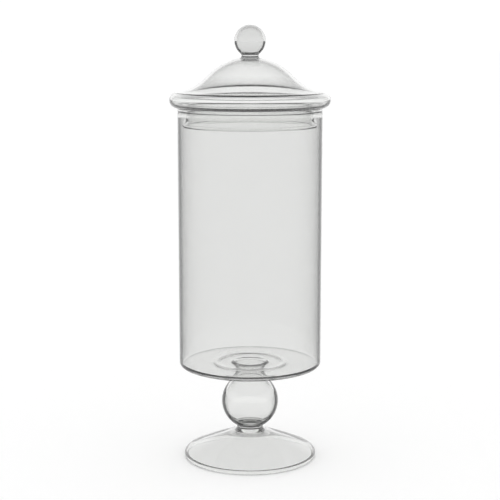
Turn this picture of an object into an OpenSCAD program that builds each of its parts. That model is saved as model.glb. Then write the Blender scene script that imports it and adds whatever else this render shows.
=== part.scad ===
// Lidded apothecary jar in clear lampworked glass.
// A straight tube vessel stands on a hollow ball stem and a domed foot; a loose lid with a
// hollow rolled brim, an inner collar and a hollow ball knob closes it.
// Units: millimetres. The foot stands on z = 0 and every piece is round about the Z axis.

/* [Vessel] */
// Outside diameter of the vessel tube
vessel_d = 120; // [100:1:150]
// Wall thickness of the vessel tube
vessel_wall = 2; // [1.5:0.1:2.4]
// Height of the vessel from the underside of its floor to its rim
vessel_h = 217.9; // [120:0.1:300]
// Thickness of the vessel floor
floor_t = 2.6; // [2:0.1:4]
// Outside radius of the corner between floor and wall
floor_corner_r = 4; // [3:0.5:10]
// Radius of the fire-polished bead on the rim
rim_bead_r = 1.45; // [1.3:0.05:1.7]

/* [Stem] */
// Outside diameter of the hollow ball
ball_d = 48; // [42:0.5:52]
// Wall thickness of the ball and of the tube necks above and below it
ball_wall = 2.3; // [1.5:0.1:2.6]
// Radius of the hollow curve between ball and vessel
upper_fillet_r = 7.5; // [6:0.5:9]
// Height of the ball's centre above the table
ball_z = 48.2; // [47.5:0.1:49.5]
// Radius of the hollow curve between ball and foot
lower_fillet_r = 3.1; // [2.4:0.1:3.8]

/* [Foot] */
// Outside diameter of the foot
foot_d = 112.4; // [100:0.2:124]
// Wall thickness of the foot
foot_wall = 2.4; // [2:0.1:3]
// Steepness of the foot's outer slope, in degrees from level
foot_slope = 25; // [23:0.5:27]

/* [Lid] */
// Outside diameter of the rolled brim, over the vessel's own
brim_overhang = 13.4; // [8:0.2:18]
// Outside radius of the brim's hollow roll
brim_roll_r = 6.4; // [5.4:0.1:7]
// Radius of the round crown
crown_r = 48.5; // [45:0.5:52]
// Height from the brim's underside to the top of the crown
crown_h = 41.2; // [38:0.2:44]
// Radius of the hollow shoulder between crown and brim
shoulder_r = 42; // [30:1:60]
// Wall thickness of the blown lid
lid_wall = 2; // [1.5:0.1:2.4]
// Air left between the collar's lip and the inside of the vessel
collar_gap = 2.4; // [1.6:0.1:4]
// How far the collar reaches down from the brim
collar_h = 15.8; // [13:0.2:24]

/* [Knob] */
// Outside diameter of the hollow ball knob
knob_d = 26; // [22:0.5:30]
// Wall thickness of the knob at its widest
knob_wall = 1.8; // [1.2:0.1:2.1]
// Radius of the hollow curve between knob and crown
knob_fillet_r = 2.2; // [1.8:0.1:3]

/* [Hidden] */
$fn = 96;

// A point on the circle of centre c and radius r at angle a.
function on(c, r, a) = c + r * [cos(a), sin(a)];
// Points along an arc from angle a0 to angle a1, about step degrees apart.
function arc(c, r, a0, a1, step = 6) =
    let (n = max(1, ceil(abs(a1 - a0) / step)))
    [for (i = [0 : n]) on(c, r, a0 + (a1 - a0) * i / n)];
// Angle of the direction from c to p.
function bearing(c, p) = atan2(p[1] - c[1], p[0] - c[0]);
// Points along the clockwise arc of centre c and radius r from point p to point q.
function arc_right(c, r, p, q, step = 12) =
    let (a = bearing(c, p), turn = (a - bearing(c, q) + 720) % 360)
    arc(c, r, a, a - turn, step);
// Where two circles cross, on the left of the line from the first centre to the second.
function crossing(c1, r1, c2, r2) =
    let (
        d = norm(c2 - c1),
        u = (c2 - c1) / d,
        along = (r1 * r1 - r2 * r2 + d * d) / (2 * d),
        off = sqrt(r1 * r1 - along * along)
    )
    c1 + along * u + off * [-u[1], u[0]];
// Centre of the circle of radius r that touches two other circles from outside, same side.
function touching(c1, r1, c2, r2, r) = crossing(c1, r1 + r, c2, r2 + r);
// Right half of the round hollow blown in a ball, from its top down.
function hollow(c, r) = [for (p = arc(c, r, 90, -90)) [max(0, p[0]), p[1]]];

// Foot: a near-conical dome rolled over at the rim onto a standing bead.
foot_r = foot_d / 2;
bead_r = 1.9;
bead_z = 1.5;
foot_bead = [foot_r - bead_r, bead_z];
foot_roll_r = 4.5;
foot_roll_z = 1.9;
foot_roll = [foot_r - foot_roll_r, foot_roll_z];
foot_dome_r = 400;
foot_turn = 90 - foot_slope;
foot_c = on(foot_roll, foot_roll_r - foot_dome_r, foot_turn);
foot_cap_r = 60;
cap_reach = foot_dome_r - foot_wall - foot_cap_r;
foot_cap = [0, foot_c[1] + sqrt(cap_reach * cap_reach - foot_c[0] * foot_c[0])];

// Stem: the ball and the two hollow curves that touch it.
ball_r = ball_d / 2;
ball_c = [0, ball_z];
lower_c = touching(ball_c, ball_r, foot_c, foot_dome_r, lower_fillet_r);
ball_low = on(ball_c, ball_r, bearing(ball_c, lower_c));
foot_top = on(foot_c, foot_dome_r, bearing(foot_c, lower_c));
upper_end = 60;
ball_to_floor = 7.4;
vessel_z = ball_z + ball_r + ball_to_floor;
upper_cz = vessel_z - upper_fillet_r * sin(upper_end);
upper_reach = ball_r + upper_fillet_r;
upper_c = [sqrt(upper_reach * upper_reach - pow(upper_cz - ball_z, 2)), upper_cz];
ball_high = on(ball_c, ball_r, bearing(ball_c, upper_c));
// The ball is blown: its hollow runs up the upper neck to the vessel floor. The lower neck
// is a tube too, open to the underside of the foot and closed by the bottom of the ball.
ball_bore_r = ball_r - ball_wall;
upper_bore_low = on(ball_c, ball_bore_r, bearing(ball_c, upper_c));
upper_bore = concat(
    [[0, upper_bore_low[1]]],
    arc(
        upper_c,
        upper_fillet_r + ball_wall,
        180 + bearing(ball_c, upper_c),
        180 - upper_end
    ),
    [[0, vessel_z + ball_wall]]
);
lower_bore_r = lower_c[0] - lower_fillet_r - ball_wall;
lower_bore = concat(
    [[0, 0], [lower_bore_r, 0]],
    arc(ball_c, ball_r, -acos(lower_bore_r / ball_r), -90)
);

// Vessel.
vessel_r = vessel_d / 2;
bore_r = vessel_r - vessel_wall;
rim_z = vessel_z + vessel_h;
rim_swell = 0.1;
rim_c = [vessel_r + rim_swell - rim_bead_r, rim_z - rim_bead_r];
corner_thinning = 1.5;
inner_corner_r = floor_corner_r - corner_thinning;

// Lid: crown, shoulder and brim roll are three arcs that run into each other.
seat_gap = 0.3;
brim_z = rim_z + seat_gap;
roll_c = [vessel_r + brim_overhang / 2 - brim_roll_r, brim_z + brim_roll_r];
crown_c = [0, brim_z + crown_h - crown_r];
shoulder_c = touching(crown_c, crown_r, roll_c, brim_roll_r, shoulder_r);
crown_end = bearing(crown_c, shoulder_c);
roll_start = bearing(roll_c, shoulder_c);

// Collar: leans out a little on its way down and flares at the lip.
lip_r = 1.4;
lip_reach = bore_r - collar_gap;
collar_lean = 6;
flare_r = 6;
flare_end = 50;
lip_c = [lip_reach - lip_r, brim_z - collar_h + lip_r];
flare_c = on(lip_c, flare_r, flare_end);
flare_top = on(flare_c, flare_r, 180 + collar_lean);
collar_fillet_r = 1.8;
collar_fillet_end = 120;
collar_top_z = brim_z - collar_fillet_r * sin(collar_fillet_end);
collar_top_r = flare_top[0] - (collar_top_z - flare_top[1]) * tan(collar_lean);
collar_inner_low = on(flare_c, flare_r + lid_wall / 2, 180 + collar_lean);
collar_inner_r = collar_inner_low[0] - (brim_z - collar_inner_low[1]) * tan(collar_lean);

// Knob.
knob_r = knob_d / 2;
knob_clear = 0.4;
knob_c = [0, crown_c[1] + crown_r + knob_clear + knob_r];
neck_c = touching(knob_c, knob_r, crown_c, crown_r, knob_fillet_r);
knob_low = on(knob_c, knob_r, bearing(knob_c, neck_c));
crown_top = on(crown_c, crown_r, bearing(crown_c, neck_c));

module vessel() {
    color("lightblue")
        rotate_extrude()
            polygon(concat(
                [[0, vessel_z]],
                arc([vessel_r - floor_corner_r, vessel_z + floor_corner_r], floor_corner_r, -90, 0),
                arc(
                    rim_c,
                    rim_bead_r,
                    -acos((vessel_r - rim_c[0]) / rim_bead_r),
                    180 + acos((rim_c[0] - bore_r) / rim_bead_r),
                    12
                ),
                arc(
                    [bore_r - inner_corner_r, vessel_z + floor_t + inner_corner_r],
                    inner_corner_r,
                    0,
                    -90
                ),
                [[0, vessel_z + floor_t]]
            ));
}

module stem_upper_neck() {
    color("powderblue")
        rotate_extrude()
            difference() {
                polygon(concat(
                    [[0, ball_high[1]]],
                    arc(upper_c, upper_fillet_r, 180 + bearing(ball_c, upper_c), 180 - upper_end),
                    [[0, vessel_z]]
                ));
                polygon(hollow(ball_c, ball_bore_r));
                polygon(upper_bore);
            }
}

module stem_ball() {
    color("lightcyan")
        rotate_extrude()
            difference() {
                polygon(concat(
                    [[0, ball_low[1]]],
                    arc(ball_c, ball_r, bearing(ball_c, lower_c), bearing(ball_c, upper_c)),
                    [[0, ball_high[1]]]
                ));
                polygon(hollow(ball_c, ball_bore_r));
                polygon(upper_bore);
            }
}

module stem_lower_neck() {
    color("powderblue")
        rotate_extrude()
            difference() {
                polygon(concat(
                    [[0, foot_top[1]]],
                    arc(
                        lower_c,
                        lower_fillet_r,
                        180 + bearing(foot_c, lower_c),
                        180 + bearing(ball_c, lower_c)
                    ),
                    [[0, ball_low[1]]]
                ));
                polygon(hollow(ball_c, ball_bore_r));
                polygon(lower_bore);
            }
}

module foot() {
    bead_flat = sqrt(bead_r * bead_r - bead_z * bead_z);
    bead_in = crossing(foot_roll, foot_roll_r - foot_wall, foot_bead, bead_r);
    color("lightblue")
        rotate_extrude()
            difference() {
                polygon(concat(
                    [[0, foot_top[1]]],
                    arc(foot_c, foot_dome_r, bearing(foot_c, foot_top), foot_turn, 1),
                    arc(foot_roll, foot_roll_r, foot_turn, 0),
                    arc_right(foot_bead, bead_r, [foot_r, bead_z], [foot_bead[0] + bead_flat, 0]),
                    arc_right(foot_bead, bead_r, [foot_bead[0] - bead_flat, 0], bead_in),
                    arc(foot_roll, foot_roll_r - foot_wall, bearing(foot_roll, bead_in), foot_turn),
                    arc(
                        foot_c,
                        foot_dome_r - foot_wall,
                        foot_turn,
                        bearing(foot_c, foot_cap),
                        1
                    ),
                    arc(foot_cap, foot_cap_r, bearing(foot_c, foot_cap), 90)
                ));
                polygon(lower_bore);
            }
}

module lid_dome() {
    color("lightcyan")
        rotate_extrude()
            polygon(concat(
                [[0, crown_top[1]]],
                arc(crown_c, crown_r, bearing(crown_c, neck_c), crown_end, 4),
                arc(shoulder_c, shoulder_r, 180 + crown_end, 180 + roll_start),
                arc(roll_c, brim_roll_r, roll_start, -90),
                arc([collar_inner_r + lid_wall, brim_z], lid_wall, 180, 90, 15),
                arc(roll_c, brim_roll_r - lid_wall, -90, roll_start),
                arc(shoulder_c, shoulder_r + lid_wall, 180 + roll_start, 180 + crown_end),
                arc(crown_c, crown_r - lid_wall, crown_end, 90, 4)
            ));
}

module lid_collar() {
    half = lid_wall / 2;
    lip_out = crossing(lip_c, lip_r, flare_c, flare_r - half);
    lip_in = crossing(lip_c, lip_r, flare_c, flare_r + half);
    color("powderblue")
        rotate_extrude()
            polygon(concat(
                arc(
                    [collar_top_r + half + collar_fillet_r, collar_top_z],
                    collar_fillet_r,
                    collar_fillet_end,
                    180,
                    12
                ),
                arc(flare_c, flare_r - half, 180 + collar_lean, 360 + bearing(flare_c, lip_out)),
                arc_right(lip_c, lip_r, lip_out, lip_in),
                arc(flare_c, flare_r + half, 360 + bearing(flare_c, lip_in), 180 + collar_lean),
                [[collar_inner_r, brim_z]]
            ));
}

module knob_neck() {
    color("lightblue")
        rotate_extrude()
            difference() {
                polygon(concat(
                    [[0, crown_top[1]]],
                    arc(
                        neck_c,
                        knob_fillet_r,
                        180 + bearing(crown_c, neck_c),
                        180 + bearing(knob_c, neck_c),
                        10
                    ),
                    [[0, knob_low[1]]]
                ));
                polygon(hollow(knob_c, knob_r - knob_wall));
            }
}

module knob() {
    color("lightcyan")
        rotate_extrude()
            difference() {
                polygon(concat(
                    [[0, knob_low[1]]],
                    arc(knob_c, knob_r, bearing(knob_c, neck_c), 90),
                ));
                polygon(hollow(knob_c, knob_r - knob_wall));
            }
}

vessel();
stem_upper_neck();
stem_ball();
stem_lower_neck();
foot();
lid_dome();
lid_collar();
knob_neck();
knob();
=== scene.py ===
"""Clear lampworked glass apothecary jar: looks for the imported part, on a pale studio floor."""
import math

import bpy
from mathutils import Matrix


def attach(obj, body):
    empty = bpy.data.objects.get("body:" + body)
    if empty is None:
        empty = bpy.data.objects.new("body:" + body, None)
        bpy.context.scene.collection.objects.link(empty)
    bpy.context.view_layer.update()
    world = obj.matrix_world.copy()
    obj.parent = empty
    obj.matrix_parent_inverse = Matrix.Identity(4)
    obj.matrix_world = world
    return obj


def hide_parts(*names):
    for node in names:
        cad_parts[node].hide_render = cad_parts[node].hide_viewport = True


MM = 0.001
TURNS = 256  # facets round the axis of every lathed piece
SAME_POINT = 1e-4  # mm
ON_AXIS = 1e-7  # m
SHARP_DEG = 35
FINE_PITCH = 1.0  # mm between rings on short straight runs
RING_PITCH = 2.0
LONG_PITCH = 6.0
# degrees between points along an arc: a wide dome needs the finest steps, a bead the coarsest
ARC_STEP = 2.5
DOME_STEP = 0.25
CROWN_STEP = 1.5
ROLL_STEP = 4
FILLET_STEP = 5
BEAD_STEP = 6
RIM_STEP = 8

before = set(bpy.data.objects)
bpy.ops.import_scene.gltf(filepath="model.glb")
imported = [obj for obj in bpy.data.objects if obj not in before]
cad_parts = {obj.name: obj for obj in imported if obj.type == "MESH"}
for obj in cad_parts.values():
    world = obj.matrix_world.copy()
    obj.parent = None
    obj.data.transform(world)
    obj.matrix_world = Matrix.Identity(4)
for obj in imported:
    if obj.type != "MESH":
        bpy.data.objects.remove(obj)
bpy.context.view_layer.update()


# ---------------------------------------------------------------- profile tools
# points are (radius, height) in mm
def on(c, r, a):
    return (c[0] + r * math.cos(math.radians(a)), c[1] + r * math.sin(math.radians(a)))


def arc(c, r, a0, a1, step=ARC_STEP):
    n = max(2, math.ceil(abs(a1 - a0) / step))
    return [on(c, r, a0 + (a1 - a0) * i / n) for i in range(n + 1)]


def bearing(c, p):
    return math.degrees(math.atan2(p[1] - c[1], p[0] - c[0]))


def arc_right(c, r, p, q, step=BEAD_STEP):
    a = bearing(c, p)
    return arc(c, r, a, a - (a - bearing(c, q) + 720) % 360, step)


def crossing(c1, r1, c2, r2):
    dx, dy = c2[0] - c1[0], c2[1] - c1[1]
    d = math.hypot(dx, dy)
    ux, uy = dx / d, dy / d
    along = (r1 * r1 - r2 * r2 + d * d) / (2 * d)
    off = math.sqrt(r1 * r1 - along * along)
    return (c1[0] + along * ux - off * uy, c1[1] + along * uy + off * ux)


def touching(c1, r1, c2, r2, r):
    return crossing(c1, r1 + r, c2, r2 + r)


def line(p, q, pitch=LONG_PITCH):
    n = max(1, math.ceil(math.dist(p, q) / pitch))
    return [(p[0] + (q[0] - p[0]) * i / n, p[1] + (q[1] - p[1]) * i / n) for i in range(n + 1)]


# ---------------------------------------------------------------- the jar's sizes, as in the CAD
WALL = 2.0
FOOT_R, BEAD_R, BEAD_Z = 56.2, 1.9, 1.5
ROLL_R, ROLL_Z, FOOT_WALL = 4.5, 1.9, 2.4
DOME_R, SLOPE, CAP_R = 400.0, 25.0, 60.0
BALL_R, BALL_WALL, BALL_Z = 24.0, 2.3, 48.2
LOWER_R, UPPER_R, UPPER_END = 3.1, 7.5, 60.0
VESSEL_R, FLOOR, CORNER_R, CORNER_IN_R = 60.0, 2.6, 4.0, 2.5
RIM_BEAD_R, RIM_SWELL = 1.45, 0.1
BALL_TO_FLOOR, VESSEL_H, SEAT_GAP = 7.4, 217.9, 0.3
VESSEL_Z = BALL_Z + BALL_R + BALL_TO_FLOOR
RIM_Z = VESSEL_Z + VESSEL_H
BRIM_Z = RIM_Z + SEAT_GAP
BRIM_R, COLLAR_GAP, KNOB_CLEAR = 66.7, 2.4, 0.4
CROWN_R, CROWN_H, SHOULDER_R, BRIM_ROLL_R = 48.5, 41.2, 42.0, 6.4
LIP_R, LEAN, FLARE_R, FLARE_END, COLLAR_H = 1.4, 6.0, 6.0, 50.0, 15.8
COLLAR_FILLET_R, COLLAR_FILLET_END = 1.8, 120.0
KNOB_R, KNOB_WALL, KNOB_FILLET_R = 13.0, 1.8, 2.2

WELD_RINGS = ((14.0, 1.6, 0.5), (29.0, 2.6, 0.4))  # radius, width and height of each ring
FLOOR_PITCH = 0.6

BALL_IN_R, KNOB_IN_R = BALL_R - BALL_WALL, KNOB_R - KNOB_WALL
foot_bead = (FOOT_R - BEAD_R, BEAD_Z)
foot_roll = (FOOT_R - ROLL_R, ROLL_Z)
foot_turn = 90 - SLOPE
foot_c = on(foot_roll, ROLL_R - DOME_R, foot_turn)
cap_reach = DOME_R - FOOT_WALL - CAP_R
foot_cap = (0.0, foot_c[1] + math.sqrt(cap_reach**2 - foot_c[0] ** 2))
ball_c = (0.0, BALL_Z)
lower_c = touching(ball_c, BALL_R, foot_c, DOME_R, LOWER_R)
ball_low = on(ball_c, BALL_R, bearing(ball_c, lower_c))
foot_top = on(foot_c, DOME_R, bearing(foot_c, lower_c))
upper_cz = VESSEL_Z - UPPER_R * math.sin(math.radians(UPPER_END))
upper_c = (math.sqrt((BALL_R + UPPER_R) ** 2 - (upper_cz - BALL_Z) ** 2), upper_cz)
ball_high = on(ball_c, BALL_R, bearing(ball_c, upper_c))
neck_bore_r = UPPER_R + BALL_WALL
bore_top_a = 180 - math.degrees(math.asin((VESSEL_Z - upper_cz) / neck_bore_r))
bore_mid_a = 180 - math.degrees(math.asin((ball_high[1] - upper_cz) / neck_bore_r))
bore_top = on(upper_c, neck_bore_r, bore_top_a)
tube_bore_r = lower_c[0] - LOWER_R - BALL_WALL
bore_r = VESSEL_R - WALL
rim_c = (VESSEL_R + RIM_SWELL - RIM_BEAD_R, RIM_Z - RIM_BEAD_R)
roll_c = (BRIM_R - BRIM_ROLL_R, BRIM_Z + BRIM_ROLL_R)
crown_c = (0.0, BRIM_Z + CROWN_H - CROWN_R)
shoulder_c = touching(crown_c, CROWN_R, roll_c, BRIM_ROLL_R, SHOULDER_R)
crown_end = bearing(crown_c, shoulder_c)
roll_start = bearing(roll_c, shoulder_c)
lip_c = (bore_r - COLLAR_GAP - LIP_R, BRIM_Z - COLLAR_H + LIP_R)
flare_c = on(lip_c, FLARE_R, FLARE_END)
flare_top = on(flare_c, FLARE_R, 180 + LEAN)
collar_top_z = BRIM_Z - COLLAR_FILLET_R * math.sin(math.radians(COLLAR_FILLET_END))
lean_tan = math.tan(math.radians(LEAN))
collar_top_r = flare_top[0] - (collar_top_z - flare_top[1]) * lean_tan
collar_in_low = on(flare_c, FLARE_R + WALL / 2, 180 + LEAN)
collar_in_r = collar_in_low[0] - (BRIM_Z - collar_in_low[1]) * lean_tan
knob_c = (0.0, crown_c[1] + CROWN_R + KNOB_CLEAR + KNOB_R)
neck_c = touching(knob_c, KNOB_R, crown_c, CROWN_R, KNOB_FILLET_R)
knob_low = on(knob_c, KNOB_R, bearing(knob_c, neck_c))
crown_top = on(crown_c, CROWN_R, bearing(crown_c, neck_c))


def ripple(r):
    """Height of the soft rings that the stem's weld left on the vessel's floor."""
    return sum(h * math.exp(-(((r - at) / w) ** 2)) for at, w, h in WELD_RINGS)


def floor_radii(r_out):
    n = math.ceil(r_out / FLOOR_PITCH)
    return [r_out * (n - i) / n for i in range(n + 1)]


def vessel_profile():
    inner_c = (bore_r - CORNER_IN_R, VESSEL_Z + FLOOR + CORNER_IN_R)
    out_a = math.degrees(math.acos((VESSEL_R - rim_c[0]) / RIM_BEAD_R))
    in_a = math.degrees(math.acos((rim_c[0] - bore_r) / RIM_BEAD_R))
    corner_c = (VESSEL_R - CORNER_R, VESSEL_Z + CORNER_R)
    weld_r = on(upper_c, UPPER_R, 180 - UPPER_END)[0]
    return [
        ("glass", line((0, VESSEL_Z), (bore_top[0], VESSEL_Z), FINE_PITCH)),
        ("weld", line((bore_top[0], VESSEL_Z), (weld_r, VESSEL_Z))),
        ("glass", line((weld_r, VESSEL_Z), (corner_c[0], VESSEL_Z))),
        ("glass", arc(corner_c, CORNER_R, -90, 0)),
        ("glass", line((VESSEL_R, corner_c[1]), on(rim_c, RIM_BEAD_R, -out_a))),
        ("glass", arc(rim_c, RIM_BEAD_R, -out_a, 180 + in_a, RIM_STEP)),
        ("glass", line(on(rim_c, RIM_BEAD_R, 180 + in_a), (bore_r, inner_c[1]))),
        ("glass", arc(inner_c, CORNER_IN_R, 0, -90)),
        ("glass", [(r, VESSEL_Z + FLOOR + ripple(r)) for r in floor_radii(inner_c[0])]),
    ]


def rise(c, r, p):
    """Angle at which the circle reaches the height of p, on its right half."""
    return math.degrees(math.asin((p[1] - c[1]) / r))


def upper_neck_profile():
    start = 180 + bearing(ball_c, upper_c)
    side = arc(upper_c, UPPER_R, start, 180 - UPPER_END)
    inside = arc(upper_c, neck_bore_r, bore_top_a, bore_mid_a)
    return [
        ("weld", line(inside[-1], side[0])),
        ("glass", side),
        ("weld", line(side[-1], inside[0])),
        ("glass", inside),
    ]


def ball_profile():
    side = arc(ball_c, BALL_R, bearing(ball_c, lower_c), bearing(ball_c, upper_c))
    neck = arc(upper_c, neck_bore_r, bore_mid_a, 180 + bearing(ball_c, upper_c))
    inside = arc(ball_c, BALL_IN_R, bearing(ball_c, upper_c), rise(ball_c, BALL_IN_R, ball_low))
    return [
        ("weld", line(inside[-1], side[0])),
        ("glass", side),
        ("weld", line(side[-1], neck[0])),
        ("glass", neck),
        ("glass", inside),
    ]


def lower_neck_profile():
    start, end = 180 + bearing(foot_c, lower_c), 180 + bearing(ball_c, lower_c)
    side = arc(lower_c, LOWER_R, start, end, FILLET_STEP)
    dish = arc(ball_c, BALL_IN_R, rise(ball_c, BALL_IN_R, ball_low), -90)
    under = arc(ball_c, BALL_R, -90, -math.degrees(math.acos(tube_bore_r / BALL_R)))
    return [
        ("glass", under),
        ("glass", line(under[-1], (tube_bore_r, foot_top[1]), FINE_PITCH)),
        ("weld", line((tube_bore_r, foot_top[1]), side[0])),
        ("glass", side),
        ("weld", line(side[-1], dish[0])),
        ("glass", dish),
    ]


def foot_profile():
    flat = math.sqrt(BEAD_R**2 - BEAD_Z**2)
    bead_in = crossing(foot_roll, ROLL_R - FOOT_WALL, foot_bead, BEAD_R)
    out_flat, in_flat = (foot_bead[0] + flat, 0.0), (foot_bead[0] - flat, 0.0)
    cap_a = bearing(foot_c, foot_cap)
    cap = arc(foot_cap, CAP_R, cap_a, math.degrees(math.acos(tube_bore_r / CAP_R)))
    bead_a = bearing(foot_roll, bead_in)
    return [
        ("weld", line((tube_bore_r, foot_top[1]), foot_top)),
        ("glass", arc(foot_c, DOME_R, bearing(foot_c, foot_top), foot_turn, DOME_STEP)),
        ("glass", arc(foot_roll, ROLL_R, foot_turn, 0, FILLET_STEP)),
        ("glass", arc_right(foot_bead, BEAD_R, (FOOT_R, BEAD_Z), out_flat)),
        ("glass", line(out_flat, in_flat, FINE_PITCH)),
        ("glass", arc_right(foot_bead, BEAD_R, in_flat, bead_in)),
        ("glass", arc(foot_roll, ROLL_R - FOOT_WALL, bead_a, foot_turn, RIM_STEP)),
        ("glass", arc(foot_c, DOME_R - FOOT_WALL, foot_turn, cap_a, DOME_STEP)),
        ("glass", cap),
        ("glass", line(cap[-1], (tube_bore_r, foot_top[1]), FINE_PITCH)),
    ]


def lid_dome_profile():
    fillet_c = (collar_top_r + WALL / 2 + COLLAR_FILLET_R, 0)
    collar_out_r = on(fillet_c, COLLAR_FILLET_R, COLLAR_FILLET_END)[0]
    top = BRIM_Z + WALL
    shoulder_in_r = SHOULDER_R + WALL
    return [
        ("weld", line((0, crown_top[1]), crown_top)),
        ("glass", arc(crown_c, CROWN_R, bearing(crown_c, neck_c), crown_end, CROWN_STEP)),
        ("glass", arc(shoulder_c, SHOULDER_R, 180 + crown_end, 180 + roll_start, CROWN_STEP)),
        ("glass", arc(roll_c, BRIM_ROLL_R, roll_start, -90, ROLL_STEP)),
        ("glass", line((roll_c[0], BRIM_Z), (collar_out_r, BRIM_Z), RING_PITCH)),
        ("weld", line((collar_out_r, BRIM_Z), (collar_in_r, BRIM_Z), RING_PITCH)),
        ("glass", arc((collar_in_r + WALL, BRIM_Z), WALL, 180, 90, BEAD_STEP)),
        ("glass", line((collar_in_r + WALL, top), (roll_c[0], top), RING_PITCH)),
        ("glass", arc(roll_c, BRIM_ROLL_R - WALL, -90, roll_start, ROLL_STEP)),
        ("glass", arc(shoulder_c, shoulder_in_r, 180 + roll_start, 180 + crown_end, CROWN_STEP)),
        ("glass", arc(crown_c, CROWN_R - WALL, crown_end, 90, CROWN_STEP)),
    ]


def collar_profile():
    half = WALL / 2
    lip_out = crossing(lip_c, LIP_R, flare_c, FLARE_R - half)
    lip_in = crossing(lip_c, LIP_R, flare_c, FLARE_R + half)
    fillet_c = (collar_top_r + half + COLLAR_FILLET_R, collar_top_z)
    fillet = arc(fillet_c, COLLAR_FILLET_R, COLLAR_FILLET_END, 180, BEAD_STEP)
    start, out_end, in_end = 180 + LEAN, bearing(flare_c, lip_out), bearing(flare_c, lip_in)
    flare_out = arc(flare_c, FLARE_R - half, start, 360 + out_end, FILLET_STEP)
    return [
        ("glass", fillet),
        ("glass", line(fillet[-1], flare_out[0], RING_PITCH)),
        ("glass", flare_out),
        ("glass", arc_right(lip_c, LIP_R, lip_out, lip_in)),
        ("glass", arc(flare_c, FLARE_R + half, 360 + in_end, start, FILLET_STEP)),
        ("glass", line(collar_in_low, (collar_in_r, BRIM_Z), RING_PITCH)),
        ("weld", line((collar_in_r, BRIM_Z), fillet[0], RING_PITCH)),
    ]


def knob_neck_profile():
    start, end = 180 + bearing(crown_c, neck_c), 180 + bearing(knob_c, neck_c)
    side = arc(neck_c, KNOB_FILLET_R, start, end, FILLET_STEP)
    dish = arc(knob_c, KNOB_IN_R, rise(knob_c, KNOB_IN_R, knob_low), -90)
    return [
        ("weld", line((0, crown_top[1]), side[0])),
        ("glass", side),
        ("weld", line(side[-1], dish[0])),
        ("glass", dish),
    ]


def knob_profile():
    side = arc(knob_c, KNOB_R, bearing(knob_c, neck_c), 90)
    inside = arc(knob_c, KNOB_IN_R, 90, rise(knob_c, KNOB_IN_R, knob_low))
    return [
        ("glass", inside),
        ("weld", line(inside[-1], side[0])),
        ("glass", side),
    ]


# ---------------------------------------------------------------- lathe
def turn_sense(points):
    """Twice the area that the profile encloses: above zero where it runs anticlockwise."""
    pairs = zip(points, points[1:] + points[:1])
    return sum(p[0] * q[1] - q[0] * p[1] for p, q in pairs)


def lathe(name, stretches):
    """A closed mesh turned from a profile. Faces of a weld stretch take the second material."""
    verts, faces, kinds = [], [], []

    def ring(p):
        start = len(verts)
        r, z = p[0] * MM, p[1] * MM
        if r < ON_AXIS:
            verts.append((0.0, 0.0, z))
            return (start, 1)
        for i in range(TURNS):
            a = 2 * math.pi * i / TURNS
            verts.append((r * math.cos(a), r * math.sin(a), z))
        return (start, TURNS)

    def band(a, b, kind):
        (sa, na), (sb, nb) = a, b
        for i in range(TURNS):
            j = (i + 1) % TURNS
            if na == 1 and nb == 1:
                return
            if na == 1:
                faces.append((sa, sb + j, sb + i))
            elif nb == 1:
                faces.append((sa + i, sa + j, sb))
            else:
                faces.append((sa + i, sa + j, sb + j, sb + i))
            kinds.append(kind)

    points, marks = [], []
    for kind, pts in stretches:
        for p in pts:
            if points and math.dist(points[-1], p) < SAME_POINT:
                continue
            if points:
                marks.append(kind)
            points.append(p)
    off_axis = max(points[0][0], points[-1][0]) > SAME_POINT
    if off_axis:
        points.pop()
    if turn_sense(points) < 0:
        points.reverse()
        marks = marks[-2::-1] + marks[-1:] if off_axis else marks[::-1]
    rings = [ring(p) for p in points]
    for i, kind in enumerate(marks):
        band(rings[i], rings[(i + 1) % len(rings)], 1 if kind == "weld" else 0)
    mesh = bpy.data.meshes.new(name)
    mesh.from_pydata(verts, [], faces)
    mesh.polygons.foreach_set("material_index", kinds)
    mesh.polygons.foreach_set("use_smooth", [True] * len(faces))
    mesh.update()
    mesh.set_sharp_from_angle(angle=math.radians(SHARP_DEG))
    obj = bpy.data.objects.new(name, mesh)
    bpy.context.scene.collection.objects.link(obj)
    return obj


# ---------------------------------------------------------------- materials
# tints set by the photo's tones, one for each slot: the glass's faint green cast, with painted
# shade that makes the same glass darker on some pieces than on others (the knob darkest, the foot
# and lid lightest)
VESSEL_TINT_AND_PAINTED_SHADE = (0.9, 0.903, 0.897)
STEM_TINT_AND_PAINTED_SHADE = (0.92, 0.923, 0.917)
FOOT_TINT_AND_PAINTED_SHADE = LID_TINT_AND_PAINTED_SHADE = (0.95, 0.953, 0.947)
KNOB_TINT_AND_PAINTED_SHADE = (0.85, 0.853, 0.847)
GLASS_IOR = 1.47
# height of the surface waves in metres, and waves per metre along x, y and z
TUBE_WAVES = (0.00002, (60, 60, 8))
BLOWN_WAVES = (0.00004, (40, 40, 40))
WAVE_DETAIL = 2.0


def empty_material(name):
    m = bpy.data.materials.new(name)
    m.use_nodes = True
    m.node_tree.nodes.clear()
    return m, m.node_tree, m.node_tree.nodes.new("ShaderNodeOutputMaterial")


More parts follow.
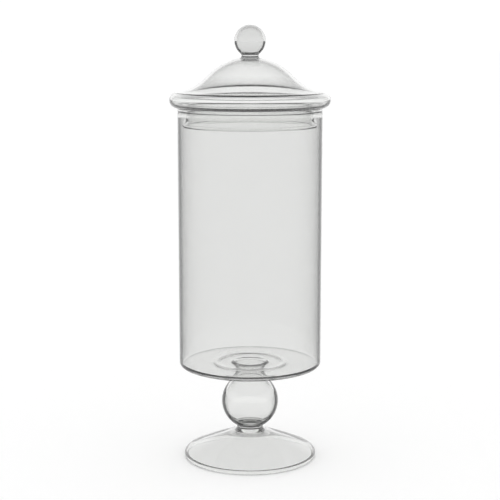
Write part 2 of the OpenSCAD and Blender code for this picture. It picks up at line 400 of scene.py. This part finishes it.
def glass(name, tint_and_painted_shade, waves):
    """Clear glass with the faint unevenness of hand-worked pieces."""
    m, t, out = empty_material(name)
    shader = t.nodes.new("ShaderNodeBsdfPrincipled")
    # base colour: the glass's faint green cast plus painted shade, darker on some pieces than
    # others
    shader.inputs["Base Color"].default_value = (*tint_and_painted_shade, 1)
    shader.inputs["Roughness"].default_value = 0.0
    shader.inputs["IOR"].default_value = GLASS_IOR
    shader.inputs["Transmission Weight"].default_value = 1.0
    place = t.nodes.new("ShaderNodeTexCoord")
    stretch = t.nodes.new("ShaderNodeMapping")
    stretch.inputs["Scale"].default_value = waves[1]
    noise = t.nodes.new("ShaderNodeTexNoise")
    noise.inputs["Scale"].default_value = 1.0
    noise.inputs["Detail"].default_value = WAVE_DETAIL
    bump = t.nodes.new("ShaderNodeBump")
    bump.inputs["Strength"].default_value = 1.0
    bump.inputs["Distance"].default_value = waves[0]
    t.links.new(place.outputs["Object"], stretch.inputs["Vector"])
    t.links.new(stretch.outputs["Vector"], noise.inputs["Vector"])
    t.links.new(noise.outputs["Fac"], bump.inputs["Height"])
    t.links.new(bump.outputs["Normal"], shader.inputs["Normal"])
    t.links.new(shader.outputs["BSDF"], out.inputs["Surface"])
    return m


def weld_material():
    """The plane between two fused pieces, where light passes as if there were none."""
    m, t, out = empty_material("weld_plane")
    clear = t.nodes.new("ShaderNodeBsdfTransparent")
    t.links.new(clear.outputs["BSDF"], out.inputs["Surface"])
    return m


weld = weld_material()
tube_glass = glass("drawn_tube_glass", VESSEL_TINT_AND_PAINTED_SHADE, TUBE_WAVES)
stem_glass = glass("stem_glass", STEM_TINT_AND_PAINTED_SHADE, BLOWN_WAVES)
foot_glass = glass("foot_glass", FOOT_TINT_AND_PAINTED_SHADE, BLOWN_WAVES)
lid_glass = glass("lid_glass", LID_TINT_AND_PAINTED_SHADE, BLOWN_WAVES)
knob_glass = glass("knob_glass", KNOB_TINT_AND_PAINTED_SHADE, BLOWN_WAVES)

PIECES = [
    ("glass_vessel", "vessel", "jar", "vessel_glass", vessel_profile(), tube_glass),
    ("glass_upper_neck", "stem_upper_neck", "jar", "stem_glass", upper_neck_profile(), stem_glass),
    ("glass_stem_ball", "stem_ball", "jar", "stem_glass", ball_profile(), stem_glass),
    ("glass_lower_neck", "stem_lower_neck", "jar", "stem_glass", lower_neck_profile(), stem_glass),
    ("glass_foot", "foot", "jar", "foot_glass", foot_profile(), foot_glass),
    ("glass_lid_dome", "lid_dome", "lid", "lid_glass", lid_dome_profile(), lid_glass),
    ("glass_lid_collar", "lid_collar", "lid", "lid_glass", collar_profile(), lid_glass),
    ("glass_knob_neck", "knob_neck", "lid", "knob_glass", knob_neck_profile(), knob_glass),
    ("glass_knob", "knob", "lid", "knob_glass", knob_profile(), knob_glass),
]
for name, node, body, slot, profile, material in PIECES:
    piece = lathe(name, profile)
    piece.data.materials.append(material)
    piece.data.materials.append(weld)
    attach(piece, body)
    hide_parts(node)

# ---------------------------------------------------------------- floor, light and camera
FLOOR_HALF = 30.0  # m
FLOOR_DROP = 0.0002
PAPER = 0.99
PAPER_ROUGHNESS = 0.9
SWEEP_STRENGTH = 1.045
ROOM = 0.95
FLOOR_SHADE = 0.03
# brightness of the ceiling, and the upward slopes of sight between which it takes over
CEILING, CEILING_FROM, CEILING_TO = 0.6, 0.2, 0.6
LENS_MM, SENSOR_MM = 93.81, 36.0
CAMERA_PLACE = (0.0, -1.0826, 0.3566)
CAMERA_PITCH = 9.343  # degrees down from level
CAMERA_REACH = 200.0
BOUNCES = 32


def grey(value):
    return (value, value, value, 1)


def mirrored_inside(t):
    """1 for a ray mirrored within the glass, which sees a darker room.

    The dark parts of the real studio aren't known, and this stands in for them.
    """
    path = t.nodes.new("ShaderNodeLightPath")
    both = t.nodes.new("ShaderNodeMath")
    both.operation = "MINIMUM"
    once = t.nodes.new("ShaderNodeMath")
    once.operation = "MINIMUM"
    once.use_clamp = True
    once.inputs[1].default_value = 1.0
    t.links.new(path.outputs["Glossy Depth"], both.inputs[0])
    t.links.new(path.outputs["Transmission Depth"], both.inputs[1])
    t.links.new(both.outputs["Value"], once.inputs[0])
    return once.outputs["Value"]


def mixed(t, fac, first, second):
    mix = t.nodes.new("ShaderNodeMixShader")
    t.links.new(fac, mix.inputs["Fac"])
    t.links.new(first, mix.inputs[1])
    t.links.new(second, mix.inputs[2])
    return mix.outputs["Shader"]


def sky_light(t, value, strength=1.0):
    light = t.nodes.new("ShaderNodeBackground")
    light.inputs["Color"].default_value = grey(value)
    light.inputs["Strength"].default_value = strength
    return light.outputs["Background"]


def overhead(t):
    """0 near the horizon and 1 overhead, but 0 for light on the paper, which an even sky lights."""
    sky = t.nodes.new("ShaderNodeTexCoord")
    axes = t.nodes.new("ShaderNodeSeparateXYZ")
    climb = t.nodes.new("ShaderNodeMapRange")
    climb.interpolation_type = "SMOOTHSTEP"
    climb.inputs["From Min"].default_value = CEILING_FROM
    climb.inputs["From Max"].default_value = CEILING_TO
    seen = t.nodes.new("ShaderNodeMath")
    seen.operation = "SUBTRACT"
    seen.use_clamp = True
    path = t.nodes.new("ShaderNodeLightPath")
    t.links.new(sky.outputs["Generated"], axes.inputs["Vector"])
    t.links.new(axes.outputs["Z"], climb.inputs["Value"])
    t.links.new(climb.outputs["Result"], seen.inputs[0])
    t.links.new(path.outputs["Diffuse Depth"], seen.inputs[1])
    return seen.outputs["Value"]


def paper_material():
    m, t, out = empty_material("white_paper")
    paper = t.nodes.new("ShaderNodeBsdfPrincipled")
    paper.inputs["Base Color"].default_value = grey(PAPER)
    paper.inputs["Roughness"].default_value = PAPER_ROUGHNESS
    paper.inputs["Specular IOR Level"].default_value = 0.0
    shaded = t.nodes.new("ShaderNodeBsdfDiffuse")
    shaded.inputs["Color"].default_value = grey(FLOOR_SHADE)
    both = mixed(t, mirrored_inside(t), paper.outputs["BSDF"], shaded.outputs["BSDF"])
    t.links.new(both, out.inputs["Surface"])
    return m


scene = bpy.context.scene
floor_mesh = bpy.data.meshes.new("floor")
corners = [(-1, -1), (1, -1), (1, 1), (-1, 1)]
places = [(x * FLOOR_HALF, y * FLOOR_HALF, 0) for x, y in corners]
floor_mesh.from_pydata(places, [], [(0, 1, 2, 3)])
floor_mesh.materials.append(paper_material())
floor = bpy.data.objects.new("floor", floor_mesh)
scene.collection.objects.link(floor)
floor.location.z = -FLOOR_DROP

world = bpy.data.worlds.new("studio")
scene.world = world
world.use_nodes = True
studio = world.node_tree
studio.nodes.clear()
world_out = studio.nodes.new("ShaderNodeOutputWorld")
sweep = sky_light(studio, 1, SWEEP_STRENGTH)
walls = mixed(studio, mirrored_inside(studio), sweep, sky_light(studio, ROOM))
room = mixed(studio, overhead(studio), walls, sky_light(studio, CEILING))
studio.links.new(room, world_out.inputs["Surface"])

cam_data = bpy.data.cameras.new("camera")
cam_data.lens = LENS_MM
cam_data.sensor_width = SENSOR_MM
cam_data.clip_end = CAMERA_REACH
cam = bpy.data.objects.new("camera", cam_data)
scene.collection.objects.link(cam)
cam.location = CAMERA_PLACE
cam.rotation_euler = (math.radians(90 - CAMERA_PITCH), 0, 0)
scene.camera = cam

scene.view_settings.view_transform = "Standard"
scene.cycles.blur_glossy = 0.0
scene.cycles.max_bounces = BOUNCES
scene.cycles.transmission_bounces = BOUNCES
scene.cycles.glossy_bounces = BOUNCES // 2
scene.cycles.diffuse_bounces = BOUNCES // 8
scene.cycles.transparent_max_bounces = BOUNCES * 2
